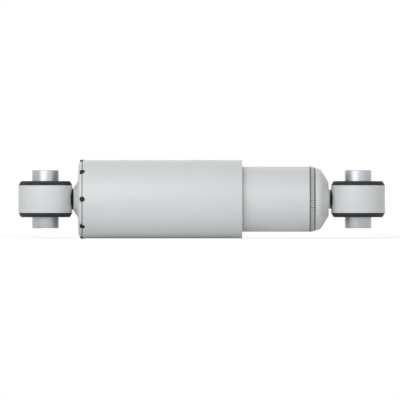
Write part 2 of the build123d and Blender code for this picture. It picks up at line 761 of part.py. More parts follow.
# Pieces that are cut to meet each other
rod_weld = eye_weld(CAP_TIP_OD / 2 + WELD_LAP * CONE_SLOPE + WELD_PROUD)
stub_weld = Pos(BASE_EYE, 0, 0) * Rot(0, 0, 180) * eye_weld(STUB_OD / 2 + WELD_PROUD)
cap = dust_cap() - rod_weld
cover = ring(COVER_START, COVER_END, COVER_OD, COVER_BORE)
base = base_cap() - stub_weld
garter = garter_spring()

NODES = {
    "rod_eye_sleeve": eye_sleeve(0),
    "rod_eye_ring": eye_ring(0),
    "rod_eye_bush": eye_bush(0),
    "rod_eye_weld": rod_weld,
    "dust_cap": cap,
    "dust_cover": cover,
    "cover_spot_welds": cover_spot_welds(cap, cover),
    "piston_rod": piston_rod() - rod_weld,
    "rebound_bumper": rebound_bumper(),
    "rebound_stop": rebound_stop(),
    "rebound_snap_ring": snap_ring(),
    "piston_stop_washer": stop_washer(ROD_SHOULDER, SPIGOT_OD),
    "piston_star_spring": star_spring(ROD_SHOULDER + WASHER_SHEET, SPIGOT_OD),
    "piston_check_plate": check_plate(PISTON_FACE),
    "piston": piston(),
    "piston_band": piston_band(),
    "rebound_spring_plate": rebound_spring_plate(),
    "rebound_spring": rebound_spring(),
    "piston_nut": piston_nut(),
    "reservoir_tube": reservoir_tube(),
    "rod_wiper": rod_wiper(),
    "seal_cover": seal_cover(),
    "rod_seal": rod_seal(garter),
    "seal_garter_spring": garter,
    "rod_guide": rod_guide(),
    "rod_guide_bush": ring(GUIDE_BOTTOM - BEARING_LENGTH, GUIDE_BOTTOM, BEARING_OD, BEARING_BORE),
    "guide_o_ring": guide_o_ring(),
    "pressure_tube": ring(PRESSURE_TOP, PRESSURE_BOTTOM, TUBE_OD, BORE),
    "base_valve_bolt": base_valve_bolt(),
    "base_stop_washer": stop_washer(BASE_WASHER_TOP, BOLT_OD),
    "base_star_spring": star_spring(BASE_WASHER_TOP + WASHER_SHEET, BOLT_OD),
    "base_check_plate": check_plate(BODY_FACE),
    "base_valve_body": base_valve_body(base),
    "base_backing_washer": ring(BACKING_TOP, BASE_NUT_TOP, BACKING_OD, BOLT_OD),
    "base_valve_nut": base_valve_nut(),
    "base_cap": base,
    "base_seam_weld": base_seam_weld(),
    "base_eye_weld": stub_weld,
    "base_eye_ring": eye_ring(BASE_EYE),
    "base_eye_bush": eye_bush(BASE_EYE),
    "base_eye_sleeve": eye_sleeve(BASE_EYE),
}

for number, disc in enumerate(shims(PISTON_BOTTOM, NECK_FIT_BORE), 1):
    NODES["rebound_disc_" + str(number)] = disc
for number, disc in enumerate(shims(BODY_BOTTOM, BOLT_OD), 1):
    NODES["base_compression_disc_" + str(number)] = disc

os.makedirs("parts", exist_ok=True)
for name, piece in NODES.items():
    export_step(piece, "parts/" + name + ".step")
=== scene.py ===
"""Looks of a twin-tube shock absorber: turned shells, rippled welds, toothed sleeves and their finishes."""

import json
import logging
import math
from dataclasses import dataclass
from enum import Enum
from typing import Any, Sequence

import bmesh
import bpy
from mathutils import Matrix, Vector


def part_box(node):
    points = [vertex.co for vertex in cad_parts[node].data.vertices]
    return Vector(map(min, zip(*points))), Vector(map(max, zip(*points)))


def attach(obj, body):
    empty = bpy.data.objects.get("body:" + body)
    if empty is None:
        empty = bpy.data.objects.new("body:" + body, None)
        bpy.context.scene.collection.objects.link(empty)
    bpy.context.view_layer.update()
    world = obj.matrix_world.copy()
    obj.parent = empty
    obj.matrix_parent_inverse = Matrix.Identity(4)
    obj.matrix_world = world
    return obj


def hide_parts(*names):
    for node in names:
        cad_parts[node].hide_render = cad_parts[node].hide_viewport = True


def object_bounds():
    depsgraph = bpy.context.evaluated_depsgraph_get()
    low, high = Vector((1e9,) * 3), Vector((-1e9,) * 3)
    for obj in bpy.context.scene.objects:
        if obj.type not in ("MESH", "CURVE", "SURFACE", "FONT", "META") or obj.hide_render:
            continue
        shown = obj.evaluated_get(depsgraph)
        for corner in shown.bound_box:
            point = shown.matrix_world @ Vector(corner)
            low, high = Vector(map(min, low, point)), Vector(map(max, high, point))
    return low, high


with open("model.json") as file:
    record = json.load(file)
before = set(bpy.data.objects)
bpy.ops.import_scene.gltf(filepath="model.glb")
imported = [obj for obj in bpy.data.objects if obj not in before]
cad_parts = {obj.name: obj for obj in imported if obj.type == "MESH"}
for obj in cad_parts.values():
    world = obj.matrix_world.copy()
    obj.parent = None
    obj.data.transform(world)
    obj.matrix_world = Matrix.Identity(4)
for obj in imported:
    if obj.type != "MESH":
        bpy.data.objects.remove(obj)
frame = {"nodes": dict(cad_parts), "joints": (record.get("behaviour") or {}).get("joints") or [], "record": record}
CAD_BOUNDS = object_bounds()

log = logging.getLogger("shock_absorber")

MM = 0.001
TURN = 2.0 * math.pi
STEPS = 160
FINE_STEPS = 6
MERGE = 0.001 * MM
NEAR = 0.01 * MM
CONE_ANGLE = 59.0
WAVE_RADIANS = 20.0
JOINTS = {joint["name"]: joint for joint in frame["joints"]}
BASE_EYE = JOINTS["base_eye_twist"]["pos_m"][0]

Point = tuple[float, float]
Row = list[tuple[float, float, float]]


class Axis(Enum):
    """Axis that a piece is turned about."""

    DAMPER = (1.0, 0.0, 0.0)
    EYE = (0.0, 0.0, 1.0)


class Slot(Enum):
    """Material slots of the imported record."""

    ENAMEL = "grey_enamel"
    RUBBER = "black_rubber"
    ZINC = "zinc_plate"
    CHROME = "hard_chrome"
    WELD = "weld_metal"
    STEEL = "machined_steel"
    SPRING = "spring_steel"
    SINTER = "sintered_iron"
    TUBE = "drawn_steel"
    BAND = "filled_ptfe"
    SEAL = "nitrile_rubber"


def linear(colour: str) -> tuple[float, float, float, float]:
    """Turn an sRGB hex colour to linear.

    Args:
        colour: Six hex digits.

    Returns:
        Red, green, blue and an alpha of one.
    """
    shares = [int(colour[place:place + 2], 16) / 255 for place in (0, 2, 4)]
    turned_shares = [v / 12.92 if v <= 0.04045 else ((v + 0.055) / 1.055) ** 2.4 for v in shares]
    return (*turned_shares, 1.0)


def per(size: float) -> float:
    """Scale of a noise.

    Args:
        size: Size of its features, in metres.

    Returns:
        Value for the scale socket.
    """
    return 1.0 / size


def bands(pitch: float) -> float:
    """Scale of a wave texture, whose wave runs through twenty radians in a unit.

    Args:
        pitch: Distance between its bands, in metres.

    Returns:
        Value for the scale socket.
    """
    return TURN / WAVE_RADIANS / pitch


def add_node(
    tree: bpy.types.NodeTree,
    kind: str,
    settings: dict[str, Any] | None = None,
    inputs: dict[str | int, Any] | None = None,
) -> bpy.types.Node:
    """Add a node, set its properties, and set or link its inputs.

    Args:
        tree: Node tree of a material or world.
        kind: Blender's name of the node type.
        settings: Properties to set on the node.
        inputs: Values for its sockets, or output sockets to link from.

    Returns:
        The new node.
    """
    node = tree.nodes.new(kind)
    for name, value in (settings or {}).items():
        setattr(node, name, value)
    for name, value in (inputs or {}).items():
        if isinstance(value, bpy.types.NodeSocket):
            tree.links.new(value, node.inputs[name])
        else:
            node.inputs[name].default_value = value
    return node


@dataclass(frozen=True)
class Finish:
    """A finish made of two close tones, a range of gloss and a fine relief."""

    name: str
    slot: Slot
    light: str
    dark: str
    metallic: float
    gloss: tuple[float, float]
    blotch: float
    grain: float
    relief: float
    coat: float = 0.0

    def grain_height(self, tree: bpy.types.NodeTree, place: bpy.types.NodeSocket) -> bpy.types.NodeSocket:
        """Height of the fine relief.

        Args:
            tree: Node tree of the material.
            place: Object coordinates.

        Returns:
            Output socket of the height.
        """
        inputs = {"Vector": place, "Scale": per(self.grain), "Detail": 3.0, "Roughness": 0.55}
        return add_node(tree, "ShaderNodeTexNoise", inputs=inputs).outputs[0]

    def tone(
        self, tree: bpy.types.NodeTree, place: bpy.types.NodeSocket, mottle: bpy.types.NodeSocket
    ) -> bpy.types.NodeSocket:
        """Colour between the two tones.

        Args:
            tree: Node tree of the material.
            place: Object coordinates; not used.
            mottle: Output socket of the broad mottling.

        Returns:
            Output socket of the colour.
        """
        mix = add_node(
            tree, "ShaderNodeMix", {"data_type": "RGBA"},
            {0: mottle, 6: linear(self.dark), 7: linear(self.light)},
        )
        return mix.outputs[2]

    def material(self) -> bpy.types.Material:
        """Build the material, or give the one already built.

        Returns:
            The finish's material.
        """
        made = bpy.data.materials.get(self.name)
        if made:
            return made
        made = bpy.data.materials.new(self.name)
        made.use_nodes = True
        tree = made.node_tree
        tree.nodes.clear()
        place = add_node(tree, "ShaderNodeTexCoord").outputs["Object"]
        broad = {"Vector": place, "Scale": per(self.blotch), "Detail": 4.0, "Roughness": 0.6}
        mottle = add_node(tree, "ShaderNodeTexNoise", inputs=broad).outputs[0]
        gloss = {
            0: mottle, "From Min": 0.3, "From Max": 0.7, "To Min": self.gloss[0], "To Max": self.gloss[1],
        }
        rough = add_node(tree, "ShaderNodeMapRange", inputs=gloss).outputs[0]
        height = self.grain_height(tree, place)
        bump = {"Strength": 1.0, "Distance": self.relief, "Height": height}
        normal = add_node(tree, "ShaderNodeBump", inputs=bump).outputs[0]
        shader = add_node(tree, "ShaderNodeBsdfPrincipled", inputs={
            "Base Color": self.tone(tree, place, mottle), "Metallic": self.metallic,
            "Roughness": rough, "Normal": normal, "Coat Weight": self.coat, "Coat Roughness": 0.12,
        })
        add_node(tree, "ShaderNodeOutputMaterial", inputs={"Surface": shader.outputs[0]})
        return made


@dataclass(frozen=True)
class TurnedFinish(Finish):
    """Metal with fine tool or grinding lines round an axis."""

    pitch: float = 0.5 * MM
    across: str = "X"

    def grain_height(self, tree: bpy.types.NodeTree, place: bpy.types.NodeSocket) -> bpy.types.NodeSocket:
        """Height of the tool lines; see the base class for Args and Returns."""
        inputs = {"Vector": place, "Scale": bands(self.pitch), "Distortion": 0.6, "Detail": 2.0}
        settings = {"wave_type": "BANDS", "bands_direction": self.across}
        return add_node(tree, "ShaderNodeTexWave", settings, inputs).outputs[1]


@dataclass(frozen=True)
class ValleyFinish(Finish):
    """Finish with painted shade: it darkens where the mesh's valley attribute is high."""

    # Colour of the painted shade in the valleys
    valley: str = "5A5853"

    def tone(
        self, tree: bpy.types.NodeTree, place: bpy.types.NodeSocket, mottle: bpy.types.NodeSocket
    ) -> bpy.types.NodeSocket:
        """Colour with painted shade in the valleys; see the base class for Args and Returns."""
        plain = super().tone(tree, place, mottle)
        depth = add_node(tree, "ShaderNodeAttribute", {"attribute_name": "valley"}).outputs["Fac"]
        mix = add_node(
            tree, "ShaderNodeMix", {"data_type": "RGBA"}, {0: depth, 6: plain, 7: linear(self.valley)}
        )
        return mix.outputs[2]


# Stove enamel over steel: an even pale grey with a soft gloss and a slight orange peel
ENAMEL = Finish("stove_enamel", Slot.ENAMEL, "DADCDD", "D1D4D5", 0.0, (0.4, 0.5), 60 * MM, 2.4 * MM,
                0.006 * MM, 0.05)
# The same enamel over a weld bead, a little lighter, with painted shade near-black in the ripple valleys and along
# both toes
SEAM_ENAMEL = ValleyFinish("seam_enamel_painted_shade", Slot.ENAMEL, "E4E6E7", "D8DBDC", 0.0, (0.4, 0.55), 9 * MM, 0.7 * MM,
                           0.02 * MM, valley="1C1B1A")
# The same enamel on the cap, with a painted shade line in the corner under the cover's edge
CAP_SHADE_LINE_ENAMEL = ValleyFinish("cap_enamel_painted_shade", Slot.ENAMEL, "DADCDD", "D1D4D5", 0.0, (0.4, 0.5), 60 * MM, 2.4 * MM,
                          0.006 * MM, 0.05, valley="1C1B1A")
# Moulded natural rubber: black, matt, with a faint bloom
RUBBER = Finish("moulded_rubber", Slot.RUBBER, "242425", "151516", 0.0, (0.62, 0.8), 14 * MM, 0.6 * MM,
                0.05 * MM)
# Bright zinc plate over turned steel: a cool silver with lathe lines round the sleeve
ZINC = TurnedFinish("bright_zinc", Slot.ZINC, "BCBFC3", "A3A7AB", 1.0, (0.32, 0.45), 8 * MM, 0.5 * MM,
                    0.015 * MM, pitch=0.6 * MM, across="Z")
# Bare arc weld: dark scale with a dull metal sheen
WELD = Finish("weld_scale", Slot.WELD, "3A3633", "1D1B1A", 0.85, (0.42, 0.6), 3 * MM, 0.7 * MM, 0.12 * MM)
# The same weld where its ripples show, with painted shade darkening the valleys between them
BEAD = ValleyFinish("rippled_weld_painted_shade", Slot.WELD, "46413D", "2A2725", 0.85, (0.4, 0.58), 3 * MM, 0.7 * MM,
                    0.08 * MM, valley="0E0D0C")
# Ground hard chrome: a mirror with grinding lines too fine to see
CHROME = TurnedFinish("hard_chrome", Slot.CHROME, "DDDEE0", "D5D7D9", 1.0, (0.06, 0.1), 20 * MM, 1 * MM,
                      0.001 * MM)
# Turned mild steel under a film of oil
STEEL = TurnedFinish("turned_steel", Slot.STEEL, "A3A4A6", "8E8F91", 1.0, (0.3, 0.42), 6 * MM, 0.5 * MM,
                     0.01 * MM)
# Tempered spring steel: blue-grey
SPRING = Finish("blued_spring_steel", Slot.SPRING, "6D7480", "555B66", 1.0, (0.3, 0.44), 4 * MM, 0.4 * MM,
                0.01 * MM)
# Steam-treated sintered iron: dark and finely porous
SINTER = Finish("sintered_iron", Slot.SINTER, "6A6764", "4A4846", 0.9, (0.5, 0.66), 3 * MM, 0.25 * MM,
                0.03 * MM)
# Cold-drawn tube with long faint draw marks
TUBE = Finish("drawn_steel", Slot.TUBE, "A9ABAD", "95979A", 1.0, (0.24, 0.34), 18 * MM, 0.8 * MM, 0.01 * MM)
# Bronze-filled bearing plastic: brown, flecked
BAND = Finish("bronze_filled_ptfe", Slot.BAND, "7C6448", "5E4B36", 0.1, (0.4, 0.55), 2 * MM, 0.3 * MM,
              0.01 * MM)
# Moulded nitrile: black with an oily sheen
SEAL = Finish("nitrile_rubber", Slot.SEAL, "222224", "171718", 0.0, (0.36, 0.5), 5 * MM, 0.4 * MM, 0.02 * MM)

FINISHES = {finish.slot: finish for finish in (
    ENAMEL, RUBBER, ZINC, CHROME, WELD, STEEL, SPRING, SINTER, TUBE, BAND, SEAL,
)}


def finished_object(
    mesh_builder: bmesh.types.BMesh, name: str, finish: Finish, smooth: float
) -> bpy.types.Object:
    """Turn a bmesh to an object with its finish and smooth shading.

    Args:
        mesh_builder: The piece's bmesh, which is freed.
        name: Name of the piece.
        finish: Its finish.
        smooth: Edges that turn by less than this angle, in degrees, are shaded smooth.

    Returns:
        The new object, at the origin.
    """
    bmesh.ops.remove_doubles(mesh_builder, verts=mesh_builder.verts, dist=MERGE)
    bmesh.ops.recalc_face_normals(mesh_builder, faces=mesh_builder.faces)
    limit = math.radians(smooth)
    for face in mesh_builder.faces:
        face.smooth = True
    for edge in mesh_builder.edges:
        edge.smooth = len(edge.link_faces) == 2 and edge.calc_face_angle(0.0) < limit
    mesh = bpy.data.meshes.new(name)
    mesh_builder.to_mesh(mesh)
    mesh_builder.free()
    mesh.materials.append(finish.material())
    piece = bpy.data.objects.new(name, mesh)
    bpy.context.scene.collection.objects.link(piece)
    return piece


def turned(
    profile: Sequence[Point], axis: Axis, station: float, rounding: float = 0.0, corner: float = 25.0
) -> bmesh.types.BMesh:
    """Spin a closed profile about the damper's or an eye's axis and round its sharp edges.

    Args:
        profile: Points as distance along the axis and distance from it.
        axis: Axis to turn about.
        station: Place of the eye along the damper; zero for the damper's own axis.
        rounding: Width of the rounded edges.
        corner: Least turn in degrees that counts as a sharp edge.

    Returns:
        The turned bmesh.
    """
    shape = bmesh.new()
    if axis is Axis.DAMPER:
        verts = [shape.verts.new((along, 0.0, out)) for along, out in profile]
    else:
        verts = [shape.verts.new((station + out, 0.0, along)) for along, out in profile]
    edges = [shape.edges.new((verts[place - 1], vert)) for place, vert in enumerate(verts)]
    bmesh.ops.spin(
        shape, geom=verts + edges, cent=(station, 0.0, 0.0), axis=axis.value, angle=TURN, steps=STEPS,
        use_merge=True,
    )
    bmesh.ops.remove_doubles(shape, verts=shape.verts, dist=MERGE)
    bmesh.ops.recalc_face_normals(shape, faces=shape.faces)
    if rounding:
        sharp = [
            edge for edge in shape.edges
            if len(edge.link_faces) == 2 and edge.calc_face_angle(0.0) > math.radians(corner)
        ]
        bmesh.ops.bevel(
            shape, geom=sharp, offset=rounding, affect="EDGES", segments=3, profile=0.5, material=-1,
            clamp_overlap=True,
        )
    return shape


def arc(centre: Point, radius: float, first: float, last: float) -> list[Point]:
    """Points on an arc.

    Args:
        centre: Centre of the arc.
        radius: Its radius.
        first: Angle of its first point, in degrees.
        last: Angle of its last point, in degrees.

    Returns:
        Points from the first angle to the last.
    """
    angles = [math.radians(first + (last - first) * step / FINE_STEPS) for step in range(FINE_STEPS + 1)]
    return [(centre[0] + radius * math.cos(angle), centre[1] + radius * math.sin(angle)) for angle in angles]


def closed_skin(rows: Sequence[Row]) -> bmesh.types.BMesh:
    """Skin a ring of closed cross-sections.

    Args:
        rows: Cross-sections in order round the ring, each with as many points as the next.

    Returns:
        The skinned bmesh, closed both ways.
    """
    shape = bmesh.new()
    grid = [[shape.verts.new(point) for point in row] for row in rows]
    for last, row in zip([grid[-1], *grid], grid):
        for place in range(len(row)):
            shape.faces.new((last[place - 1], last[place], row[place], row[place - 1]))
    return shape


def ripple(turn: float, count: int, share: float, bow: float) -> float:
    """Depth of a weld's overlapping crescents.

    Args:
        turn: Place round the weld, in radians.
        count: Number of crescents round it.
        share: Place across the weld, from zero to one.
        bow: How far a crescent bows, in crescents.

    Returns:
        Zero at a crescent's crest and one in the valley before the next.
    """
    phase = (turn / TURN * count + bow * 4 * share * (1 - share)) % 1.0
    return phase ** 3


def report(piece: bpy.types.Object) -> None:
    """Log a piece and its number of faces.

    Args:
        piece: The finished piece.
    """
    log.info("%s: %d faces", piece.name, len(piece.data.polygons))


def place_piece(piece: bpy.types.Object, body: str, nodes: Sequence[str] = ()) -> None:
    """Ride a piece on its body and say which nodes it stands for.

    Args:
        piece: The finished piece.
        body: Body that it moves with.
        nodes: Nodes that it replaces.
    """
    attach(piece, body)
    if nodes:
        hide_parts(*nodes)
    report(piece)


@dataclass
class Eye:
    """Eye ring, rubber bush and sleeve at one end of the damper."""

    end: str
    station: float
    body: str
    pivot: str
    wall: float = 4.5 * MM
    edge: float = 0.6 * MM
    bore: float = 10 * MM
    play: float = 0.05 * MM
    dish: float = 1.2 * MM
    dish_width: float = 4.7 * MM
    dish_bend: Point = (0.3 * MM, 2.6 * MM)
    taper: float = 3.0 * MM
    parting: float = 0.25 * MM
    tooth_count: int = 40
    tooth_height: float = 0.45 * MM
    tooth_fill: float = 0.9
    lip_round: float = 0.9 * MM

    def build(self) -> None:
        """Build the eye's pieces."""
        self.ring()
        self.bush()
        self.sleeve()
        self.teeth()

    def half_and_radius(self, piece: str) -> Point:
        """Half length along the eye's axis and outer radius of a node.

        Args:
            piece: Last word of the node's name.

        Returns:
            Half length and radius.
        """
        low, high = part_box(f"{self.end}_eye_{piece}")
        return (high.z - low.z) / 2, (high.y - low.y) / 2

    def ring(self) -> None:
        """Ring cut from tube, with its edges broken."""
        half, outer = self.half_and_radius("ring")
        inner = outer - self.wall
        shape = turned([(-half, inner), (-half, outer), (half, outer), (half, inner)],
                       Axis.EYE, self.station, self.edge)
        piece = finished_object(shape, f"{self.end}_eye_ring_shell", ENAMEL, 40)
        place_piece(piece, self.body, [f"{self.end}_eye_ring"])

    def bush(self) -> None:
        """Rubber bush with tapered flanges, their parting line and a dish round the sleeve."""
        flange, outer = self.half_and_radius("bush")
        face = self.half_and_radius("ring")[0]
        sleeve = self.half_and_radius("sleeve")[1] + self.play
        drop, bend = self.dish_bend
        middle = (flange + face) / 2
        rim = outer - self.taper / 2
        upper = [
            (flange - self.dish, sleeve), (flange - drop, sleeve + bend), (flange, sleeve + self.dish_width),
            (flange, outer - self.taper), (middle + self.parting, rim), (middle, rim + 1.6 * self.parting),
            (middle - self.parting, rim), (face, outer), (face, outer - self.wall),
        ]
        lower = [(-along, out) for along, out in reversed(upper)]
        shape = turned(upper + lower, Axis.EYE, self.station, self.lip_round)
        piece = finished_object(shape, f"{self.end}_eye_bush_rubber", RUBBER, 50)
        place_piece(piece, self.body, [f"{self.end}_eye_bush"])

    def sleeve(self) -> None:
        """Turned steel sleeve."""
        half, outer = self.half_and_radius("sleeve")
        shape = turned([(-half, self.bore), (-half, outer), (half, outer), (half, self.bore)],
                       Axis.EYE, self.station, self.edge)
        piece = finished_object(shape, f"{self.end}_eye_sleeve_tube", ZINC, 40)
        place_piece(piece, self.pivot, [f"{self.end}_eye_sleeve"])

    def teeth(self) -> None:
        """Radial teeth on both end faces of the sleeve, which bite into the bracket."""
        half, outer = self.half_and_radius("sleeve")
        inner, outer = self.bore + self.edge, outer - self.edge
        root, crest = half - self.play, half + self.tooth_height
        spread = math.pi / self.tooth_count * self.tooth_fill
        shape = bmesh.new()
        low = [
            shape.verts.new((self.station + out * math.cos(turn), out * math.sin(turn), root))
            for out, turn in ((inner, -spread), (outer, -spread), (outer, spread), (inner, spread))
        ]
        high = [shape.verts.new((self.station + out, 0.0, crest)) for out in (inner, outer)]
        shape.faces.new(reversed(low))
        shape.faces.new((low[0], low[1], high[1], high[0]))
        shape.faces.new((low[2], low[3], high[0], high[1]))
        shape.faces.new((low[1], low[2], high[1]))
        shape.faces.new((low[3], low[0], high[0]))
        one = list(shape.verts) + list(shape.edges) + list(shape.faces)
        bmesh.ops.spin(
            shape, geom=one, cent=(self.station, 0.0, 0.0), axis=Axis.EYE.value,
            angle=TURN * (self.tooth_count - 1) / self.tooth_count, steps=self.tooth_count - 1,
            use_duplicate=True,
        )
        other = bmesh.ops.duplicate(shape, geom=list(shape.verts) + list(shape.edges) + list(shape.faces))
        moved = [item for item in other["geom"] if isinstance(item, bmesh.types.BMVert)]
        bmesh.ops.rotate(
            shape, verts=moved, cent=(self.station, 0.0, 0.0), matrix=Matrix.Rotation(math.pi, 3, "X")
        )
        piece = finished_object(shape, f"{self.end}_eye_sleeve_teeth", ZINC, 20)
        place_piece(piece, self.pivot)


@dataclass
class EyeWeld:
    """Fillet weld between an eye ring and the tip or stub that carries it, with its ripples."""

    end: str
    station: float
    side: float
    body: str
    foot: float = 10 * MM
    depth: float = 2.9 * MM
    hollow: float = 0.3 * MM
    toe_curve: float = 72 * MM
    toe_rounds: int = 6
    sink: float = 0.15 * MM
    core: float = 8 * MM
    pitch: float = 2.4 * MM
    relief: float = 0.4 * MM
    bulge: float = 0.22 * MM
    bow: float = 0.5
    # Strength of the painted shade in the ripple valleys
    painted_shade_gain: float = 0.9
    steps_each: int = 8
    flank_points: int = 10

    def build(self) -> None:
        """Build the weld in place of its node."""
        low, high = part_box(f"{self.end}_eye_weld")
        ring_low, ring_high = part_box(f"{self.end}_eye_ring")
        ring = (ring_high.y - ring_low.y) / 2
        toe_radius = (high.y - low.y) / 2
        toe = max(abs(low.x - self.station), abs(high.x - self.station))
        count = round(TURN * toe_radius / self.pitch)
        total = count * self.steps_each
        turns = [TURN * step / total for step in range(total)]
        spans = [self.span(turn, ring, toe, toe_radius) for turn in turns]
        rows, valleys = [], []
        for turn, span in zip(turns, spans):
            row, valley = self.section(turn, span, ring - self.depth, toe, toe_radius, count)
            rows.append(row)
            valleys.extend(valley)
        shape = closed_skin(rows)
        layer = shape.verts.layers.float.new("valley")
        shape.verts.ensure_lookup_table()
        for vert, valley in zip(shape.verts, valleys):
            vert[layer] = valley
        piece = finished_object(shape, f"{self.end}_eye_weld_bead", BEAD, 60)
        place_piece(piece, self.body, [f"{self.end}_eye_weld"])

    def flank(self, share: float, start: float, toe: float, toe_radius: float) -> Point:
        """Point on the plain flank.

        Args:
            share: Place from the foot to the toe, from zero to one.
            start: Distance of the foot from the eye's centre.
            toe: Distance of the toe from the eye's centre.
            toe_radius: Radius at the toe.

        Returns:
            Distance from the eye's centre and distance from the damper's axis.
        """
        dip = self.hollow * 4 * share * (1 - share)
        return start + (toe - start) * share, self.foot + (toe_radius - self.foot) * share - dip

    def span(self, turn: float, ring: float, toe: float, toe_radius: float) -> Point:
        """Where the flank leaves the ring and where it ends, as shares of the plain flank.

        Args:
            turn: Place round the weld, in radians.
            ring: Radius of the eye ring.
            toe: Distance of the toe from the eye's centre.
            toe_radius: Radius at the toe.

        Returns:
            First and last share.
        """
        start = ring - self.depth
        first, last = 0.5, 1.0
        for _ in range(self.toe_rounds):
            out = self.flank(first, start, toe, toe_radius)[1]
            first = (math.sqrt(ring ** 2 - (out * math.cos(turn)) ** 2) - start) / (toe - start)
            out = self.flank(last, start, toe, toe_radius)[1]
            rise = self.toe_curve - math.sqrt(self.toe_curve ** 2 - (out * math.sin(turn)) ** 2)
            last = (toe - rise - start) / (toe - start)
        return first - self.sink / (toe - start), max(last, first)

    def section(
        self, turn: float, span: Point, start: float, toe: float, toe_radius: float, count: int
    ) -> tuple[Row, list[float]]:
        """Closed cross-section of the weld at one turn.

        Args:
            turn: Place round the weld, in radians.
            span: First and last share of the flank.
            start: Distance of the foot from the eye's centre.
            toe: Distance of the toe from the eye's centre.
            toe_radius: Radius at the toe.
            count: Number of ripples round the weld.

        Returns:
            Points of the cross-section, and how much painted shade each one gets from its depth in a valley.
        """
        row, valley = [], []
        for place in range(self.flank_points + 1):
            share = place / self.flank_points
            along, out = self.flank(span[0] + (span[1] - span[0]) * share, start, toe, toe_radius)
            sunk = ripple(turn, count, share, self.bow)
            out += (self.bulge - self.relief * sunk) * math.sin(math.pi * share)
            row.append((along, out))
            # Painted shade: the deeper a point sits in a ripple valley, the darker it is painted
            valley.append(self.painted_shade_gain * sunk)
        row += [(row[-1][0], self.core), (row[0][0], self.core)]
        placed = [
            (self.station + self.side * along, out * math.cos(turn), out * math.sin(turn))
            for along, out in row
        ]
        return placed, [*valley, 0.0, 0.0]


@dataclass
class Cover:
    """Pressed cap and the dust cover that is spot welded to it."""

    edge: float = 0.35 * MM
    sheet: float = 2.5 * MM
    bend: float = 4.0 * MM
    wall: float = 1.5 * MM
    rod: float = 10 * MM
    tip: float = 12.2 * MM
    cone_end: float = 38 * MM
    slope: float = math.tan(math.radians(CONE_ANGLE))
    corner: float = 0.7 * MM

    def build(self) -> None:
        """Build the cap and the cover."""
        self.cap()
        self.cover()

    def cap(self) -> None:
        """Cap with a conical nose, a flat shoulder and a rim inside the cover."""
        low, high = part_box("dust_cap")
        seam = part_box("dust_cover")[0].x
        rim = (high.y - low.y) / 2
        inside = self.cone_end + self.sheet
        drop = self.sheet / math.sin(math.radians(CONE_ANGLE))
        outer_bend = arc((self.cone_end + self.bend, rim - self.bend), self.bend, 180, 90)
        inner_bend = arc(
            (inside + self.bend - self.sheet, rim - self.bend), self.bend - self.sheet, 90, 180
        )
        profile = [
            (low.x, self.rod), (low.x, self.tip),
            (self.cone_end, self.tip + (self.cone_end - low.x) * self.slope),
            *outer_bend, (seam - self.corner, rim), (high.x, rim), (high.x, rim - self.sheet), *inner_bend,
            (inside, self.tip + (inside - low.x - drop) * self.slope),
            (low.x + drop - (self.tip - self.rod) / self.slope, self.rod),
        ]
        shape = turned(profile, Axis.DAMPER, 0.0)
        # Painted shade: the strip of cap just under the cover's edge is darkened to a line, in the corner between
        # the parts
        layer = shape.verts.layers.float.new("valley")
        for vert in shape.verts:
            vert[layer] = float(vert.co.x > seam - self.corner - NEAR)
        piece = finished_object(shape, "dust_cap_shell", CAP_SHADE_LINE_ENAMEL, 30)
        place_piece(piece, "rod_assembly", ["dust_cap"])

    def cover(self) -> None:
        """Thin tube with its two edges broken."""
        low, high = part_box("dust_cover")
        outer = (high.y - low.y) / 2
        shape = turned([
            (low.x, outer - self.wall), (low.x, outer), (high.x, outer), (high.x, outer - self.wall),
        ], Axis.DAMPER, 0.0, self.edge)
        piece = finished_object(shape, "dust_cover_tube", ENAMEL, 40)
        place_piece(piece, "rod_assembly", ["dust_cover"])


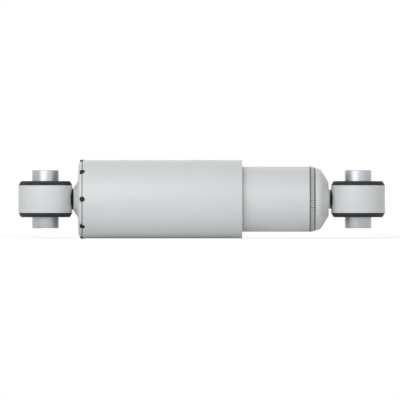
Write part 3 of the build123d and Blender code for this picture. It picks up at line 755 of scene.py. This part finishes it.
@dataclass
class Reservoir:
    """Reservoir tube, base cap and the rippled seam between them."""

    wall: float = 1.6 * MM
    lip: float = 7.5 * MM
    lip_round: float = 3.0 * MM
    sheet: float = 4.0 * MM
    face: float = 19.5 * MM
    bend: float = 8.5 * MM
    inner_bend: float = 4.5 * MM
    base_face: float = 326 * MM
    stub: float = 11.3 * MM
    stub_taper: float = 0.4 * MM
    base_inside: float = 322 * MM
    slope: float = math.tan(math.radians(CONE_ANGLE))
    pitch: float = 2.75 * MM
    relief: float = 0.7 * MM
    bulge: float = 0.7 * MM
    crescent: float = 0.9
    toe_power: int = 4
    # Strength of the painted shade in the ripple valleys and at the toes
    painted_shade_gain: float = 2.2
    steps_each: int = 9
    crown_points: int = 20

    def build(self) -> None:
        """Build the tube, the cap and the seam."""
        self.tube()
        self.cap()
        self.seam()

    def tube(self) -> None:
        """Outer tube, rolled in at its top."""
        low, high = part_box("reservoir_tube")
        outer = (high.y - low.y) / 2
        inner = outer - self.wall
        under = self.lip_round - self.wall
        roll = arc((low.x + self.lip_round, outer - self.lip_round), self.lip_round, 180, 90)
        under_roll = arc((low.x + self.wall + under, inner - under), under, 90, 180)
        shape = turned([
            (low.x, outer - self.lip), *roll, (high.x, outer), (high.x, inner), *under_roll,
            (low.x + self.wall, outer - self.lip),
        ], Axis.DAMPER, 0.0)
        piece = finished_object(shape, "reservoir_shell", ENAMEL, 30)
        place_piece(piece, "cylinder", ["reservoir_tube"])

    def shoulder(self, top: float, cone_from: float, bend: float) -> list[Point]:
        """Arc that joins a cylinder to the base's cone.

        Args:
            top: Radius of the cylinder.
            cone_from: Station where the cone would reach the base's face radius.
            bend: Radius of the arc.

        Returns:
            Points from the cylinder to the cone.
        """
        lean = math.radians(90 - CONE_ANGLE)
        corner = cone_from - (top - self.face) / self.slope
        reach = bend * math.tan((math.pi / 2 - lean) / 2)
        return arc((corner - reach, top - bend), bend, 90, math.degrees(lean))

    def cap(self) -> None:
        """Domed base with its skirt and stub."""
        low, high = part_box("base_cap")
        outer = (high.y - low.y) / 2
        inner = outer - self.sheet
        cone_inside = self.base_face - self.sheet / math.sin(math.radians(CONE_ANGLE))
        inside_rim = self.face - (self.base_inside - cone_inside) * self.slope
        shape = turned([
            (low.x, inner), (low.x, outer), *self.shoulder(outer, self.base_face, self.bend),
            (self.base_face, self.face), (self.base_face, self.stub), (high.x, self.stub - self.stub_taper),
            (high.x, 0.0), (self.base_inside, 0.0), (self.base_inside, inside_rim),
            *reversed(self.shoulder(inner, cone_inside, self.inner_bend)),
        ], Axis.DAMPER, 0.0)
        piece = finished_object(shape, "base_cap_shell", ENAMEL, 30)
        place_piece(piece, "cylinder", ["base_cap"])

    def seam(self) -> None:
        """Weld bead of overlapping crescents, with painted shade between them and along its toes."""
        low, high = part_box("base_seam_weld")
        top = (high.z - low.z) / 2
        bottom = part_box("base_cap")[1].y
        width = high.x - low.x
        count = round(TURN * top / self.pitch)
        crown = []
        for place in range(self.crown_points + 1):
            share = place / self.crown_points
            crown.append((
                low.x + width * share,
                top + (bottom - top) * share + self.bulge * 4 * share * (1 - share),
            ))
        sunk = bottom - self.bulge
        shape = bmesh.new()
        profile = [*crown, (high.x, sunk), (low.x, sunk)]
        verts = [shape.verts.new((along, 0.0, out)) for along, out in profile]
        edges = [shape.edges.new((verts[place - 1], vert)) for place, vert in enumerate(verts)]
        bmesh.ops.spin(
            shape, geom=verts + edges, cent=(0.0, 0.0, 0.0), axis=Axis.DAMPER.value, angle=TURN,
            steps=count * self.steps_each, use_merge=True,
        )
        bmesh.ops.remove_doubles(shape, verts=shape.verts, dist=MERGE / 2)
        layer = shape.verts.layers.float.new("valley")
        for vert in shape.verts:
            out = math.hypot(vert.co.y, vert.co.z)
            if out < sunk + NEAR:
                continue
            share = (vert.co.x - low.x) / width
            depth = ripple(math.atan2(vert.co.z, vert.co.y), count, share, self.crescent)
            toe = abs(2 * share - 1) ** self.toe_power
            # Painted shade: near-black in the ripple valleys and at both toes, where the bead meets the tube and
            # the cap
            vert[layer] = min(1.0, self.painted_shade_gain * (depth + toe))
            scale = (out - self.relief * depth * (1 - toe)) / out
            vert.co.y *= scale
            vert.co.z *= scale
        piece = finished_object(shape, "base_seam_bead", SEAM_ENAMEL, 60)
        place_piece(piece, "cylinder", ["base_seam_weld"])


@dataclass
class CarriedNodes:
    """CAD nodes that keep their own shape and get a finish."""

    def build(self) -> None:
        """Give each shown node the finish of its slot."""
        slots = {part["node"]: part["material_slot"] for part in frame["record"]["subparts"]}
        for name, node in frame["nodes"].items():
            if node.hide_render:
                continue
            finish = FINISHES[Slot(slots[name])]
            node.data.materials.clear()
            node.data.materials.append(finish.material())
            log.info("%s: finish %s", name, finish.name)


@dataclass(frozen=True)
class Lamp:
    """Soft square lamp that points at the damper's middle."""

    name: str
    place: tuple[float, float, float]
    size: float
    power: float

    def build(self) -> None:
        """Hang the lamp."""
        data = bpy.data.lights.new(self.name, "AREA")
        data.size = self.size
        data.energy = self.power
        lamp = bpy.data.objects.new(self.name, data)
        lamp.location = self.place
        aim = Vector((BASE_EYE / 2, 0.0, 0.0)) - Vector(self.place)
        lamp.rotation_euler = aim.to_track_quat("-Z", "Y").to_euler()
        bpy.context.scene.collection.objects.link(lamp)


LAMPS = (
    Lamp("key", (-0.45, -1.5, 0.8), 1.5, 16.0),
    Lamp("fill", (0.9, -1.4, 0.3), 1.6, 3.5),
    Lamp("rim", (0.2, 1.3, 0.9), 1.6, 3.5),
)


@dataclass
class Studio:
    """Floor, lamps, world and camera."""

    floor_radius: float = 1.6
    floor_glow: float = 0.35
    daylight: float = 0.42
    pixel: float = 1.1517 * MM
    width: int = 400
    eye_pixel: float = 45.45
    axis_pixel: float = 199.15
    lens: float = 1000.0
    sensor: float = 36.0

    def build(self) -> None:
        """Build the whole studio."""
        self.floor()
        self.world()
        for lamp in LAMPS:
            lamp.build()
        self.camera()
        bpy.context.scene.view_settings.view_transform = "Standard"

    def floor(self) -> None:
        """Plain pale floor under the dust cover's lowest point."""
        shape = bmesh.new()
        bmesh.ops.create_circle(shape, cap_ends=True, segments=96, radius=self.floor_radius)
        lowest = CAD_BOUNDS[0].z
        bmesh.ops.translate(shape, verts=shape.verts, vec=(BASE_EYE / 2, 0.0, lowest))
        mesh = bpy.data.meshes.new("floor")
        shape.to_mesh(mesh)
        shape.free()
        made = bpy.data.materials.new("pale_floor")
        made.use_nodes = True
        tree = made.node_tree
        tree.nodes.clear()
        path = add_node(tree, "ShaderNodeLightPath")
        seen = add_node(tree, "ShaderNodeMath", {"operation": "MAXIMUM"},
                        {0: path.outputs["Is Camera Ray"], 1: path.outputs["Is Glossy Ray"]})
        glow = add_node(tree, "ShaderNodeMath", {"operation": "MULTIPLY"},
                        {0: seen.outputs[0], 1: self.floor_glow})
        shader = add_node(tree, "ShaderNodeBsdfPrincipled", inputs={
            "Base Color": linear("F4F4F4"), "Roughness": 0.9, "Specular IOR Level": 0.1,
            "Emission Color": linear("FFFFFF"), "Emission Strength": glow.outputs[0],
        })
        add_node(tree, "ShaderNodeOutputMaterial", inputs={"Surface": shader.outputs[0]})
        mesh.materials.append(made)
        piece = bpy.data.objects.new("floor", mesh)
        bpy.context.scene.collection.objects.link(piece)

    def world(self) -> None:
        """White to the camera, to gloss and through glass, and a plain soft light otherwise."""
        world = bpy.data.worlds.new("studio")
        world.use_nodes = True
        tree = world.node_tree
        tree.nodes.clear()
        path = add_node(tree, "ShaderNodeLightPath")
        seen = add_node(tree, "ShaderNodeMath", {"operation": "MAXIMUM"},
                        {0: path.outputs["Is Camera Ray"], 1: path.outputs["Is Glossy Ray"]})
        seen = add_node(tree, "ShaderNodeMath", {"operation": "MAXIMUM"},
                        {0: seen.outputs[0], 1: path.outputs["Is Transmission Ray"]})
        strength = add_node(
            tree, "ShaderNodeMapRange", inputs={0: seen.outputs[0], "To Min": self.daylight, "To Max": 1.0}
        )
        light = add_node(tree, "ShaderNodeBackground", inputs={
            "Color": linear("FFFFFF"), "Strength": strength.outputs[0],
        })
        add_node(tree, "ShaderNodeOutputWorld", inputs={"Surface": light.outputs[0]})
        bpy.context.scene.world = world

    def camera(self) -> None:
        """Camera square to the damper's side, far enough away to see it without perspective."""
        view = self.width * self.pixel
        data = bpy.data.cameras.new("camera")
        data.lens = self.lens
        data.sensor_width = self.sensor
        distance = view * self.lens / self.sensor
        camera = bpy.data.objects.new("camera", data)
        middle = self.width / 2
        camera.location = (
            (middle - self.eye_pixel) * self.pixel, -distance, (self.axis_pixel - middle) * self.pixel,
        )
        camera.rotation_euler = (math.pi / 2, 0.0, 0.0)
        data.clip_end = 4 * distance
        bpy.context.scene.collection.objects.link(camera)
        bpy.context.scene.camera = camera


def main() -> None:
    """Build every sub-assembly, dress what is left and set up the studio."""
    logging.basicConfig(level=logging.INFO, format="%(message)s")
    Eye("rod", 0.0, "rod_assembly", "rod_eye_pivot").build()
    Eye("base", BASE_EYE, "cylinder", "base_eye_pivot").build()
    EyeWeld("rod", 0.0, 1.0, "rod_assembly").build()
    EyeWeld("base", BASE_EYE, -1.0, "cylinder").build()
    Cover().build()
    Reservoir().build()
    CarriedNodes().build()
    Studio().build()


if __name__ == "__main__":
    main()
